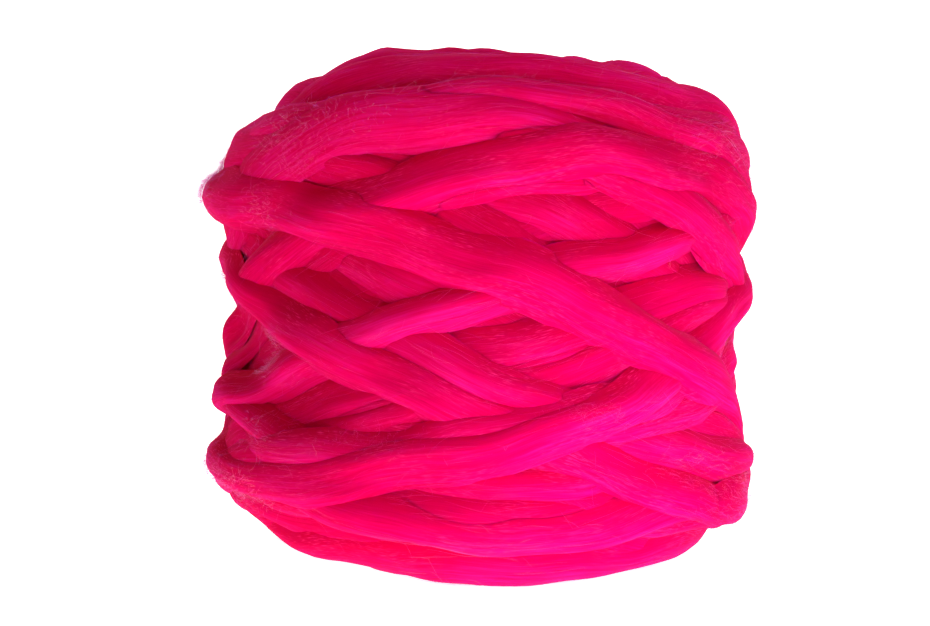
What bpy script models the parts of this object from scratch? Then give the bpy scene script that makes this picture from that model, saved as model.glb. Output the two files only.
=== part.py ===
"""Wool roving ball, cross-wound: one thick combed strand laid back and forth between two rounded ends.

The ball stands on one end, with its winding axis along Z and its lowest point at Z = 0.
A place on it is given by its turn (degrees round the axis, 0 at -Y, growing towards +X) and its
climb (distance along the outline, up from mid height). One lap is the strand's way from one end
to the other. Each lap lies on the pile of all the laps before it.
"""

from collections import namedtuple

import bpy
import numpy as np

# Driving dimensions, metres
BELLY_RADIUS = 0.1305
WAIST_DIP = 0.0045
HALF_HEIGHT = 0.1200
SHOULDER = 0.0700
SHOULDER_FULLNESS = 0.95
STRAIGHT_SHARE = 0.80
END_SHIFT = 0.006
EYE_DEPTH = 0.014
EYE_RADIUS = 0.020
RELIEF_LIMIT = 0.010
FLAT_SPOT_RADIUS = 0.046
FLAT_SPOT_FADE = 0.026
FLAT_SPOT_PRESS = 0.0015
TRIM = 0.0006

# Soft round spots on the ball: their middle, their reach and how strong they are there
Spot = namedtuple("Spot", "turn_deg climb_mm reach_deg reach_mm amount")

# Where the ball bulges or, with a minus sign, is drawn in, in millimetres
BULGES = (
    Spot(-95, 61, 32, 18, 7),
    Spot(-93, 20, 16, 15, 9),
    Spot(-95, -32, 14, 8, -4),
    Spot(-95, -70, 28, 28, 6),
    Spot(-75, -132, 30, 24, -8),
    Spot(-15, -140, 45, 20, 3),
    Spot(-75, 108, 30, 16, -4),
    Spot(-25, 145, 40, 25, 5),
    Spot(40, 130, 30, 25, -3),
    Spot(92, -72, 30, 24, -9),
)

# Where the strands have felted together, and the share of their relief that is lost by it
FELTED = (
    Spot(-68, 76, 26, 14, 0.75),
    Spot(-42, 62, 14, 12, 0.50),
    Spot(75, 76, 30, 26, 0.65),
    Spot(0, 128, 80, 26, 0.55),
    Spot(0, -122, 80, 26, 0.55),
)

# How the strand lies on what is under it
TURN_IN_DEG = 22.0
SINK = 0.33
STIFFNESS = 0.15
BRIDGE_DEG = 7.0
EDGE_POWER = 2.8
CROWN_POWER = 1.3
WANDER = 0.0016
EVENING_LENGTH = 0.026

# Sampling of the pile, and the number of faces of the finished solid
TURN_STEPS = 480
CLIMB_STEP = 0.0015
ACROSS = 15
POLE_BLUR_RADIUS = 0.060
POLE_BLUR_STEPS = 14
FACES = 11200

# The inner laps, layer by layer from the core out. Each layer has as many laps up as down.
Layer = namedtuple("Layer", "laps span_deg turn_mm width_mm thick_mm")
INNER_LAYERS = (
    Layer(7, 205, 185, 36, 6),
    Layer(8, 210, 160, 34, 6),
    Layer(9, 214, 136, 32, 6),
    Layer(10, 214, 114, 30, 6),
    Layer(9, 214, 94, 28, 6),
)
LAYER_UNEVEN_DEG = 6.0
LAYER_UNEVEN_MM = 5.0
LAYER_SEED = 3

# The outer laps, in the order in which they were laid: where each one starts and ends.
Lap = namedtuple("Lap", "from_deg from_mm to_deg to_mm width_mm thick_mm")
OUTER_LAPS = (
    Lap(60, 82, 274, -88, 26, 6.5),
    Lap(88, -84, 302, 84, 26, 6.5),
    Lap(112, 76, 326, -80, 24, 6.5),
    Lap(40, -90, 254, 78, 25, 6.5),
    Lap(150, 88, 364, -86, 24, 6),
    Lap(120, -78, 334, 88, 24, 6.5),
    Lap(-230, 80, -60, -117, 34, 4.5),
    Lap(-60, -117, 62, -116, 34, 4.5),
    Lap(62, -116, 240, 80, 34, 4.5),
    Lap(-207, 86, 6, -94, 23, 5.5),
    Lap(6, -94, 220, 84, 23, 5.5),
    Lap(-234, -88, -20, 117, 28, 5.5),
    Lap(-20, 117, 48, 114, 28, 5.5),
    Lap(48, 114, 262, -90, 28, 5.5),
    Lap(-80, 95, 134, -85, 27, 5.5),
    Lap(-155, -58, 84, 63, 20, 5.5),
    Lap(-111, -75, 118, 32, 21, 5),
    Lap(-45, 70, 171, -85, 24, 8),
    Lap(-73, 82, 133, -95, 24, 6),
    Lap(-107, 64, 119, -77, 25, 6.5),
    Lap(-65, -44, 173, 62, 17, 5),
    Lap(-157, -88, 90, 18, 21, 5.5),
    Lap(-122, -82, 119, 15, 21, 6),
    Lap(-135, 85, 73, -67, 20, 5.5),
    Lap(-122, -51, 111, 58, 19, 6),
    Lap(-215, 45, 15, -70, 18, 6),
    Lap(-168, -80, 39, 72, 22, 5.5),
    Lap(-141, 68, 88, -72, 23, 7.5),
    Lap(-202, -75, 20, 58, 14, 5),
    Lap(-133, -53, 101, 49, 20, 7.5),
    Lap(-22, 85, 192, -86, 27, 5.5),
    Lap(-45, 89, 203, -59, 24, 7.5),
    Lap(-216, -80, 2, 87, 30, 5),
    Lap(6, 95, 236, -76, 19, 6),
    Lap(-189, -82, 25, 68, 25, 8),
    Lap(25, 68, 236, -82, 25, 8),
    Lap(-2, -49, 214, 57, 22, 6),
    Lap(-159, 57, 122, -109, 23, 8),
    Lap(-36, -58, 195, 66, 22, 5),
    Lap(-267, 80, -52, -72, 22, 8),
    Lap(-52, -72, 188, 75, 21, 8),
    Lap(-295, -85, -85, 58, 28, 9.5),
    Lap(-85, 58, 167, -89, 28, 9.5),
)


def spread(spots, turn, climb):
    """The strength of all spots together at turns and climbs."""
    total = 0
    for spot in spots:
        away_turn = (np.degrees(turn) - spot.turn_deg + 180) % 360 - 180
        away_climb = 1000 * climb - spot.climb_mm
        near = (away_turn / spot.reach_deg) ** 2 + (away_climb / spot.reach_mm) ** 2
        total = total + spot.amount * np.exp(-near)
    return total


class Outline:
    """The ball's smooth outline without strands: radius, height and outward direction by climb."""

    def __init__(self):
        straight = HALF_HEIGHT - SHOULDER * STRAIGHT_SHARE
        side_z = np.linspace(0, straight, 120)
        side_r = BELLY_RADIUS - WAIST_DIP * (0.5 + 0.5 * np.cos(np.pi * side_z / straight))
        bend = np.linspace(0, np.pi / 2, 120)[1:]
        bend_r = BELLY_RADIUS - SHOULDER * (1 - np.cos(bend) ** SHOULDER_FULLNESS)
        bend_z = straight + (HALF_HEIGHT - straight) * np.sin(bend) ** SHOULDER_FULLNESS
        end_r = np.linspace(BELLY_RADIUS - SHOULDER, 0, 60)[1:]
        end_z = np.full(end_r.size, HALF_HEIGHT)
        eye = EYE_DEPTH * np.exp(-((end_r / EYE_RADIUS) ** 2))
        half_r = np.concatenate([side_r, bend_r, end_r])
        upper_z = np.concatenate([side_z, bend_z, end_z - eye])
        lower_z = -np.concatenate([side_z, bend_z, end_z])
        self.radius = np.concatenate([half_r[:0:-1], half_r])
        self.height = np.concatenate([lower_z[:0:-1], upper_z])
        steps = np.hypot(np.diff(self.radius), np.diff(self.height))
        self.climb = np.concatenate([[0], np.cumsum(steps)])
        self.climb -= self.climb[half_r.size - 1]
        out_r = np.gradient(self.height, self.climb)
        out_z = -np.gradient(self.radius, self.climb)
        length = np.hypot(out_r, out_z)
        self.out_r = out_r / length
        self.out_z = out_z / length

    def radius_at(self, climb):
        return np.interp(climb, self.climb, self.radius)

    def place(self, turn, climb, lift):
        """Points that lie a lift above the outline and its bulges."""
        lift = lift + spread(BULGES, turn, climb) / 1000
        radius = self.radius_at(climb) + lift * np.interp(climb, self.climb, self.out_r)
        level = np.interp(climb, self.climb, self.height)
        height = level + lift * np.interp(climb, self.climb, self.out_z)
        shift = END_SHIFT * (level / HALF_HEIGHT) ** 2
        return np.stack([radius * np.sin(turn) + shift, -radius * np.cos(turn), height], axis=-1)


def smooth(values, spread, axis, wrap=False):
    """A running average with bell-shaped weights; spread is in steps."""
    reach = int(3 * spread) + 1
    weights = np.exp(-0.5 * (np.arange(-reach, reach + 1) / spread) ** 2)
    weights /= weights.sum()
    margins = [(0, 0)] * values.ndim
    margins[axis] = (reach, reach)
    padded = np.pad(values, margins, mode="wrap" if wrap else "edge")
    total = np.zeros(values.shape)
    for index, weight in enumerate(weights):
        window = [slice(None)] * values.ndim
        window[axis] = slice(index, index + values.shape[axis])
        total += weight * padded[tuple(window)]
    return total


def highest_near(values, reach):
    """For each row, the highest value up to reach rows away."""
    highest = values.copy()
    for step in range(1, reach + 1):
        highest[step:] = np.maximum(highest[step:], values[:-step])
        highest[:-step] = np.maximum(highest[:-step], values[step:])
    return highest


def wander(distance, wave_length, seed):
    """A slow irregular wave between about -1 and 1."""
    wave = np.zeros(distance.size)
    for part, pace in enumerate((0.61, 1.0, 1.73)):
        phase = 2.39996 * (part + 1) * (seed + 1)
        wave += np.sin(2 * np.pi * distance * pace / wave_length + phase)
    return wave / 1.8


class Pile:
    """The height of the winding above its core, on a grid of turn and climb."""

    def __init__(self, shape):
        self.shape = shape
        self.low = shape.climb[0]
        self.high = shape.climb[-1]
        self.climbs = np.arange(self.low, self.high, CLIMB_STEP)
        self.turn_step = 2 * np.pi / TURN_STEPS
        self.turns = np.arange(TURN_STEPS) * self.turn_step
        self.height = np.zeros((TURN_STEPS, self.climbs.size))

    def at(self, columns, climb):
        """The height of the pile at climbs in the given columns of the grid."""
        row = np.clip((climb - self.low) / CLIMB_STEP, 0, self.climbs.size - 1.001)
        lower = np.floor(row).astype(int)
        share = row - lower
        below = self.height[columns, lower]
        above = self.height[columns, lower + 1]
        return below * (1 - share) + above * share

    def lay(self, laps, seed):
        """Lays one or more joined laps on the pile, a little past the turns at both ends."""
        lap = laps[0]
        start, stop, turn_in = np.radians([lap.from_deg, laps[-1].to_deg, TURN_IN_DEG])
        first = int(np.ceil((start - turn_in) / self.turn_step))
        last = int(np.floor((stop + turn_in) / self.turn_step))
        index = np.arange(first, last + 1)
        turn = index * self.turn_step
        columns = index % TURN_STEPS
        middle = np.zeros(turn.size)
        for leg in laps:
            here = np.degrees(turn) >= leg.from_deg if leg is not lap else slice(None)
            share = (np.degrees(turn[here]) - leg.from_deg) / (leg.to_deg - leg.from_deg)
            rise = (leg.to_mm - leg.from_mm) / 1000
            middle[here] = leg.from_mm / 1000 + rise * (1 - np.cos(np.pi * share)) / 2
        run = BELLY_RADIUS * (turn - turn[0])
        middle = middle + WANDER * wander(run, 0.11, seed)
        slope = np.gradient(middle, turn) / self.shape.radius_at(middle)
        to_end = np.minimum(turn - turn[0], turn[-1] - turn) / turn_in
        fullness = np.clip(to_end, 0, 1)
        fullness = fullness * fullness * (3 - 2 * fullness)
        half_width = lap.width_mm / 2000 * np.sqrt(1 + slope**2)
        half_width *= (0.35 + 0.65 * fullness) * (1 + 0.08 * wander(run, 0.09, seed + 0.5))
        thickness = lap.thick_mm / 1000 * (0.1 + 0.9 * fullness)
        across = np.linspace(-1, 1, ACROSS)
        bed = np.stack([self.at(columns, middle + side * half_width) for side in across], axis=1)
        bed = highest_near(bed, int(np.radians(BRIDGE_DEG) / 2 / self.turn_step))
        bed = smooth(smooth(bed, 5, axis=0), 1.2, axis=1)
        stiff_bed = bed[:, ACROSS // 3 : -(ACROSS // 3)].mean(axis=1, keepdims=True)
        bed = (1 - STIFFNESS) * bed + STIFFNESS * stiff_bed - SINK * lap.thick_mm / 1000
        for step, column in enumerate(columns):
            side = (self.climbs - middle[step]) / half_width[step]
            covered = np.abs(side) < 1
            crown = (1 - np.abs(side[covered]) ** EDGE_POWER) ** CROWN_POWER
            top = np.interp(side[covered], across, bed[step]) + thickness[step] * crown
            self.height[column, covered] = np.maximum(self.height[column, covered], top)

    def relief(self):
        """How far the strands stand out from, or lie under, the ball's even outline."""
        turn_spread = EVENING_LENGTH / (BELLY_RADIUS * self.turn_step)
        even = smooth(self.height, turn_spread, axis=0, wrap=True)
        even = smooth(even, EVENING_LENGTH / CLIMB_STEP, axis=1)
        kept = 1 - spread(FELTED, self.turns[:, None], self.climbs[None, :])
        relief = RELIEF_LIMIT * np.tanh((self.height - even) * kept / RELIEF_LIMIT)
        radius = self.shape.radius_at(self.climbs)
        blurred = smooth(relief, POLE_BLUR_STEPS, axis=0, wrap=True)
        distinct = np.clip(radius / POLE_BLUR_RADIUS, 0, 1)
        relief = distinct * relief + (1 - distinct) * blurred
        ease = np.clip(radius / EYE_RADIUS, 0, 1)
        flat = (radius - FLAT_SPOT_RADIUS) / FLAT_SPOT_FADE
        ease = np.where(self.climbs < 0, np.clip(flat, 0, 1), ease)
        return relief * ease * ease * (3 - 2 * ease)


def inner_laps():
    """The laps of all inner layers, evenly spread round the axis but for a small unevenness."""
    uneven = np.random.default_rng(LAYER_SEED)
    laps = []
    for layer in INNER_LAYERS:
        for number in range(layer.laps):
            start = 360 * number / layer.laps
            for way in (1, -1):
                start += uneven.normal(0, LAYER_UNEVEN_DEG)
                from_mm = way * (layer.turn_mm + uneven.normal(0, LAYER_UNEVEN_MM))
                to_mm = -way * (layer.turn_mm + uneven.normal(0, LAYER_UNEVEN_MM))
                width = layer.width_mm * uneven.uniform(0.85, 1.15)
                stop = start + layer.span_deg
                laps.append(Lap(start, from_mm, stop, to_mm, width, layer.thick_mm))
                start = stop
    return laps


def joined(laps):
    """Groups of laps: one that starts where the last one ends is the same strand, turning back."""
    groups = []
    for lap in laps:
        if groups and groups[-1][-1][2:4] == lap[:2]:
            groups[-1].append(lap)
        else:
            groups.append([lap])
    return groups


def wound_surface(shape):
    """Points of the wound ball, a row for each climb and a column for each turn."""
    pile = Pile(shape)
    strands = [[lap] for lap in inner_laps()] + joined(OUTER_LAPS)
    for seed, laps in enumerate(strands):
        pile.lay(laps, seed)
    relief = smooth(smooth(pile.relief(), 1.1, axis=0, wrap=True), 1.1, axis=1)
    every_turn = slice(0, TURN_STEPS, 2)
    every_climb = slice(3, -3, 2)
    turns, climbs = np.meshgrid(pile.turns[every_turn], pile.climbs[every_climb])
    return shape.place(turns, climbs, relief[every_turn, every_climb].T)


def closed_mesh(name, rows, lower_pole, upper_pole):
    """A closed mesh of rings of points between two poles, its faces pointing out."""
    ring_count, per_ring = rows.shape[:2]
    points = [lower_pole, upper_pole] + [tuple(point) for point in rows.reshape(-1, 3)]
    here = np.arange(per_ring)
    ahead = (here + 1) % per_ring
    faces = []
    for ring in range(ring_count - 1):
        low = 2 + ring * per_ring
        high = low + per_ring
        band = np.stack([low + here, low + ahead, high + ahead, high + here], axis=1)
        faces += [tuple(face) for face in band]
    top = 2 + (ring_count - 1) * per_ring
    faces += [(0, 2 + b, 2 + a) for a, b in zip(here, ahead)]
    faces += [(1, top + a, top + b) for a, b in zip(here, ahead)]
    mesh = bpy.data.meshes.new(name)
    mesh.from_pydata(points, [], faces)
    mesh.validate()
    return mesh


def wool_material():
    material = bpy.data.materials.new("pink_wool")
    material.use_nodes = True
    surface = material.node_tree.nodes["Principled BSDF"]
    surface.inputs["Base Color"].default_value = (0.84, 0.006, 0.11, 1)
    surface.inputs["Roughness"].default_value = 0.75
    surface.inputs["Metallic"].default_value = 0.0
    return material


def floor_trim():
    """A cutter that takes off all below Z = 0, which leaves the flat spot the ball stands on."""
    depth = 0.1
    bpy.ops.mesh.primitive_cube_add(size=1, location=(0, 0, -depth / 2))
    cutter = bpy.context.object
    cutter.name = "floor_trim"
    cutter.scale = (0.5, 0.5, depth)
    cutter.hide_render = True
    cutter.display_type = "WIRE"
    return cutter


def wound_roving():
    shape = Outline()
    rows = wound_surface(shape)
    base = HALF_HEIGHT - FLAT_SPOT_PRESS
    rows[..., 2] = np.maximum(rows[..., 2] + base, -TRIM)
    middle = (rows.reshape(-1, 3).max(axis=0) + rows.reshape(-1, 3).min(axis=0)) / 2
    rows[..., :2] -= middle[:2]
    lower_pole = (*rows[0, :, :2].mean(axis=0), -TRIM)
    upper_pole = tuple(rows[-1].mean(axis=0))
    mesh = closed_mesh("wound_roving", rows, lower_pole, upper_pole)
    ball = bpy.data.objects.new("wound_roving", mesh)
    bpy.context.scene.collection.objects.link(ball)
    mesh.materials.append(wool_material())
    mesh.shade_smooth()
    fewer = ball.modifiers.new("fewer_faces", "DECIMATE")
    triangles = sum(len(face.vertices) - 2 for face in mesh.polygons)
    fewer.ratio = FACES / triangles
    stand = ball.modifiers.new("stand_flat", "BOOLEAN")
    stand.operation = "DIFFERENCE"
    stand.solver = "EXACT"
    stand.object = floor_trim()
    return ball


def main():
    for old in list(bpy.data.objects):
        bpy.data.objects.remove(old, do_unlink=True)
    wound_roving()


main()
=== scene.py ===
# %% [markdown]
# # A cross-wound ball of wool roving
# Roving is wool that has been combed and drawn into one soft strand as thick as a finger, but not
# yet spun. A winding machine lays it back and forth on a turning core, so every lap crosses the
# laps beneath it. This lesson builds the ball as the machine does: a small table says where each
# lap starts and ends, and each lap is laid on the pile of the laps before it.
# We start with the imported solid, which fixes the size and place of everything.

# %% Load the frame
import math
from collections import namedtuple

import bpy
import numpy as np
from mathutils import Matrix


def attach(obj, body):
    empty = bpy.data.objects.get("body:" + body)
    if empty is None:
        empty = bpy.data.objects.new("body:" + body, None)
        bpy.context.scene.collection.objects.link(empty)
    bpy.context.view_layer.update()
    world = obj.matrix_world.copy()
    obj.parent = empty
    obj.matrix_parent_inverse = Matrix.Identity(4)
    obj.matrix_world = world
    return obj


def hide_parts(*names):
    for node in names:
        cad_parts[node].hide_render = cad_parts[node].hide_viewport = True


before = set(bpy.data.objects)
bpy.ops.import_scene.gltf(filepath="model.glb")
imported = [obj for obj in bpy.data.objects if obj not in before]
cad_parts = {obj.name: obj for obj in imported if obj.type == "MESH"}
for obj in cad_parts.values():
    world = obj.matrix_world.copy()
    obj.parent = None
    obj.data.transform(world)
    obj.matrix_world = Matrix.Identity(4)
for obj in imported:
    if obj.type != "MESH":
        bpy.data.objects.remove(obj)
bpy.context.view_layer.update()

# %% [markdown]
# ## The sizes of the ball
# Without its strands the ball is a turned shape: a barrel with a slight waist, round shoulders and
# flat ends, with a small eye in the upper end where the laps turn. It could be a lathe profile
# drawn by hand, but a few named sizes are easier to change, and they are the solid's own.

# %% Sizes of the ball, in metres
BELLY_RADIUS = 0.1305
WAIST_DIP = 0.0045
HALF_HEIGHT = 0.1200
SHOULDER = 0.0700
SHOULDER_FULLNESS = 0.95
STRAIGHT_SHARE = 0.80
END_SHIFT = 0.006
EYE_DEPTH = 0.014
EYE_RADIUS = 0.020
FLAT_SPOT_PRESS = 0.0015
FLOOR_SOFTNESS = 0.0012
print("belly", round(2000 * BELLY_RADIUS), "mm across, body", round(2000 * HALF_HEIGHT), "mm high")

# %% [markdown]
# ## Bulges and felted places
# A wound ball is never quite regular. Where many laps meet it bulges, where few pass it is drawn
# in, and where it has been handled the strands felt together and lose their relief. One could
# sculpt that by hand. Here it is a table of soft round spots, placed by their turn round the axis
# and their climb, the way along the outline up from half height.

# %% Spots and their strength
Spot = namedtuple("Spot", "turn_deg climb_mm reach_deg reach_mm amount")

# How far the ball bulges or, with a minus sign, is drawn in, in millimetres
BULGES = (
    Spot(-95, 61, 32, 18, 7),
    Spot(-93, 20, 16, 15, 9),
    Spot(-95, -32, 14, 8, -4),
    Spot(-95, -70, 28, 28, 6),
    Spot(-75, -132, 30, 24, -8),
    Spot(-15, -140, 45, 20, 3),
    Spot(-75, 108, 30, 16, -4),
    Spot(-25, 145, 40, 25, 5),
    Spot(40, 130, 30, 25, -3),
    Spot(92, -72, 30, 24, -9),
)

# The share of their relief that felted strands lose
FELTED = (
    Spot(-68, 76, 26, 14, 0.75),
    Spot(-42, 62, 14, 12, 0.50),
    Spot(75, 76, 30, 26, 0.65),
    Spot(0, 128, 80, 26, 0.55),
    Spot(0, -122, 80, 26, 0.55),
)


def spread(spots, turn, climb):
    """The strength of all spots together at turns and climbs."""
    total = 0
    for spot in spots:
        away_turn = (np.degrees(turn) - spot.turn_deg + 180) % 360 - 180
        away_climb = 1000 * climb - spot.climb_mm
        near = (away_turn / spot.reach_deg) ** 2 + (away_climb / spot.reach_mm) ** 2
        total = total + spot.amount * np.exp(-near)
    return total


print(len(BULGES), "bulges and", len(FELTED), "felted places")

# %% [markdown]
# ## The turned outline
# The outline has a side, a shoulder and a flat end. It knows its radius, height and outward
# direction at every climb, so one call puts a strand at any turn, climb and lift. What would sink
# into the table is pressed flat there, as the ball's weight does.

# %% The outline and how places are found on it
SIDE_SAMPLES = 120
END_SAMPLES = 60


class Outline:
    """Radius, height and outward direction of the turned shape, by climb."""

    def __init__(self):
        straight = HALF_HEIGHT - SHOULDER * STRAIGHT_SHARE
        side_z = np.linspace(0, straight, SIDE_SAMPLES)
        side_r = BELLY_RADIUS - WAIST_DIP * (0.5 + 0.5 * np.cos(np.pi * side_z / straight))
        bend = np.linspace(0, np.pi / 2, SIDE_SAMPLES)[1:]
        bend_r = BELLY_RADIUS - SHOULDER * (1 - np.cos(bend) ** SHOULDER_FULLNESS)
        bend_z = straight + (HALF_HEIGHT - straight) * np.sin(bend) ** SHOULDER_FULLNESS
        end_r = np.linspace(BELLY_RADIUS - SHOULDER, 0, END_SAMPLES)[1:]
        end_z = np.full(end_r.size, HALF_HEIGHT)
        eye = EYE_DEPTH * np.exp(-((end_r / EYE_RADIUS) ** 2))
        half_r = np.concatenate([side_r, bend_r, end_r])
        upper_z = np.concatenate([side_z, bend_z, end_z - eye])
        lower_z = -np.concatenate([side_z, bend_z, end_z])
        self.radius = np.concatenate([half_r[:0:-1], half_r])
        self.height = np.concatenate([lower_z[:0:-1], upper_z])
        steps = np.hypot(np.diff(self.radius), np.diff(self.height))
        self.climb = np.concatenate([[0], np.cumsum(steps)])
        self.climb -= self.climb[half_r.size - 1]
        out_r = np.gradient(self.height, self.climb)
        out_z = -np.gradient(self.radius, self.climb)
        length = np.hypot(out_r, out_z)
        self.out_r = out_r / length
        self.out_z = out_z / length
        self.centre = np.zeros(2)

    def radius_at(self, climb):
        return np.interp(climb, self.climb, self.radius)

    def place(self, turn, climb, lift):
        """Points a lift above the outline, pressed flat where they meet the surface below."""
        lift = lift + spread(BULGES, turn, climb) / 1000
        radius = self.radius_at(climb) + lift * np.interp(climb, self.climb, self.out_r)
        level = np.interp(climb, self.climb, self.height)
        height = level + lift * np.interp(climb, self.climb, self.out_z)
        shift = END_SHIFT * (level / HALF_HEIGHT) ** 2
        height = height + HALF_HEIGHT - FLAT_SPOT_PRESS
        pressed = FLOOR_SOFTNESS * np.logaddexp(0, height / FLOOR_SOFTNESS)
        x = radius * np.sin(turn) + shift - self.centre[0]
        y = -radius * np.cos(turn) - self.centre[1]
        return np.stack([x, y, pressed], axis=-1)


shape = Outline()
print("outline length", round(float(shape.climb[-1] - shape.climb[0]), 3), "m")

# %% [markdown]
# ## The inner laps
# One lap is the strand's way from one end of the ball to the other. It leaves one shoulder level,
# is steepest half way, and arrives level at the other, like half a wave, so two places describe
# it. The inner laps hardly show. They are spread almost evenly, layer by layer, each layer with
# shorter and narrower laps than the one beneath.

# %% The layers of inner laps
Lap = namedtuple("Lap", "from_deg from_mm to_deg to_mm width_mm thick_mm")
Layer = namedtuple("Layer", "laps span_deg turn_mm width_mm thick_mm")
INNER_LAYERS = (
    Layer(7, 205, 185, 36, 6),
    Layer(8, 210, 160, 34, 6),
    Layer(9, 214, 136, 32, 6),
    Layer(10, 214, 114, 30, 6),
    Layer(9, 214, 94, 28, 6),
)
LAYER_UNEVEN_DEG = 6.0
LAYER_UNEVEN_MM = 5.0
LAYER_UNEVEN_WIDTH = (0.85, 1.15)
LAYER_SEED = 3


def inner_laps():
    """The laps of all inner layers, spread almost evenly round the axis."""
    uneven = np.random.default_rng(LAYER_SEED)
    laps = []
    for layer in INNER_LAYERS:
        for number in range(layer.laps):
            start = 360 * number / layer.laps
            for way in (1, -1):
                start += uneven.normal(0, LAYER_UNEVEN_DEG)
                from_mm = way * (layer.turn_mm + uneven.normal(0, LAYER_UNEVEN_MM))
                to_mm = -way * (layer.turn_mm + uneven.normal(0, LAYER_UNEVEN_MM))
                width = layer.width_mm * uneven.uniform(*LAYER_UNEVEN_WIDTH)
                stop = start + layer.span_deg
                laps.append(Lap(start, from_mm, stop, to_mm, width, layer.thick_mm))
                start = stop
    return laps


print(len(inner_laps()), "inner laps")

# %% [markdown]
# ## The outer laps
# The crossings of the outer laps are what one sees, so these laps are listed one by one, in the
# order in which they are laid. A lap that starts just where the one before it ends is the same
# strand turning back, so such laps are joined to one strand.

# %% The table of outer laps
OUTER_LAPS = (
    Lap(60, 82, 274, -88, 26, 6.5),
    Lap(88, -84, 302, 84, 26, 6.5),
    Lap(112, 76, 326, -80, 24, 6.5),
    Lap(40, -90, 254, 78, 25, 6.5),
    Lap(150, 88, 364, -86, 24, 6),
    Lap(120, -78, 334, 88, 24, 6.5),
    Lap(-230, 80, -60, -117, 34, 4.5),
    Lap(-60, -117, 62, -116, 34, 4.5),
    Lap(62, -116, 240, 80, 34, 4.5),
    Lap(-207, 86, 6, -94, 23, 5.5),
    Lap(6, -94, 220, 84, 23, 5.5),
    Lap(-234, -88, -20, 117, 28, 5.5),
    Lap(-20, 117, 48, 114, 28, 5.5),
    Lap(48, 114, 262, -90, 28, 5.5),
    Lap(-80, 95, 134, -85, 27, 5.5),
    Lap(-155, -58, 84, 63, 20, 5.5),
    Lap(-111, -75, 118, 32, 21, 5),
    Lap(-45, 70, 171, -85, 24, 8),
    Lap(-73, 82, 133, -95, 24, 6),
    Lap(-107, 64, 119, -77, 25, 6.5),
    Lap(-65, -44, 173, 62, 17, 5),
    Lap(-157, -88, 90, 18, 21, 5.5),
    Lap(-122, -82, 119, 15, 21, 6),
    Lap(-135, 85, 73, -67, 20, 5.5),
    Lap(-122, -51, 111, 58, 19, 6),
    Lap(-215, 45, 15, -70, 18, 6),
    Lap(-168, -80, 39, 72, 22, 5.5),
    Lap(-141, 68, 88, -72, 23, 7.5),
    Lap(-202, -75, 20, 58, 14, 5),
    Lap(-133, -53, 101, 49, 20, 7.5),
    Lap(-22, 85, 192, -86, 27, 5.5),
    Lap(-45, 89, 203, -59, 24, 7.5),
    Lap(-216, -80, 2, 87, 30, 5),
    Lap(6, 95, 236, -76, 19, 6),
    Lap(-189, -82, 25, 68, 25, 8),
    Lap(25, 68, 236, -82, 25, 8),
    Lap(-2, -49, 214, 57, 22, 6),
    Lap(-159, 57, 122, -109, 23, 8),
    Lap(-36, -58, 195, 66, 22, 5),
    Lap(-267, 80, -52, -72, 22, 8),
    Lap(-52, -72, 188, 75, 21, 8),
    Lap(-295, -85, -85, 58, 28, 9.5),
    Lap(-85, 58, 167, -89, 28, 9.5),
)


def joined(laps):
    """Groups of laps, each group one strand."""
    groups = []
    for lap in laps:
        if groups and groups[-1][-1][2:4] == lap[:2]:
            groups[-1].append(lap)
        else:
            groups.append([lap])
    return groups


print(len(OUTER_LAPS), "outer laps in", len(joined(OUTER_LAPS)), "strands")

# %% [markdown]
# ## Three small helpers
# The winding is worked out on a map, so we need a running average, the highest value near each
# place, and a slow irregular wave. That adds three sine waves whose lengths don't match, so it
# never seems to repeat, without random numbers.

# %% Helpers that work on the map
WAVE_PACES = (0.61, 1.0, 1.73)
WAVE_SPAN = 1.8
GOLDEN_ANGLE = 2.39996


def smooth(values, width, axis, wrap=False):
    """A running average with bell-shaped weights; width is in steps."""
    reach = int(3 * width) + 1
    weights = np.exp(-0.5 * (np.arange(-reach, reach + 1) / width) ** 2)
    weights /= weights.sum()
    margins = [(0, 0)] * values.ndim
    margins[axis] = (reach, reach)
    padded = np.pad(values, margins, mode="wrap" if wrap else "edge")
    total = np.zeros(values.shape)
    for index, weight in enumerate(weights):
        window = [slice(None)] * values.ndim
        window[axis] = slice(index, index + values.shape[axis])
        total += weight * padded[tuple(window)]
    return total


def highest_near(values, reach):
    """For each row, the highest value up to reach rows away."""
    highest = values.copy()
    for step in range(1, reach + 1):
        highest[step:] = np.maximum(highest[step:], values[:-step])
        highest[:-step] = np.maximum(highest[:-step], values[step:])
    return highest


def wander(distance, wave_length, seed):
    """A slow irregular wave, mostly between -1 and 1."""
    wave = np.zeros(np.shape(distance))
    for part, pace in enumerate(WAVE_PACES):
        phase = GOLDEN_ANGLE * (part + 1) * (seed + 1)
        wave += np.sin(2 * np.pi * distance * pace / wave_length + phase)
    return wave / WAVE_SPAN


print("wave at three places", np.round(wander(np.array([0.0, 0.02, 0.04]), 0.1, 1), 2))

# %% [markdown]
# ## The section of a strand
# Tension flattens a wound strand to a soft ribbon, high in the middle and thin at both edges,
# where the wool felts into the strand beneath. It could be a drawn profile, but two powers are
# enough, one for how flat the top is and one for the edge.

# %% The crown of a strand
EDGE_POWER = 2.8
CROWN_POWER = 1.3


def crown(side):
    """The height of a strand's section, 1 in the middle and 0 at both edges."""
    return (1 - np.abs(side) ** EDGE_POWER) ** CROWN_POWER


print("crown half way out", round(float(crown(0.5)), 2))

# %% [markdown]
# ## Laying the laps on the pile
# A physics simulation of a hundred soft strands would take hours, and nobody could steer it. So
# we keep a map of how high the winding has grown, on a grid of turn and climb. Each new lap looks
# up the map under its width, bridges small valleys because wool is springy, sinks in a little,
# and raises the map. The bed that it found is kept, and later gives the strand's real surface.

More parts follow.
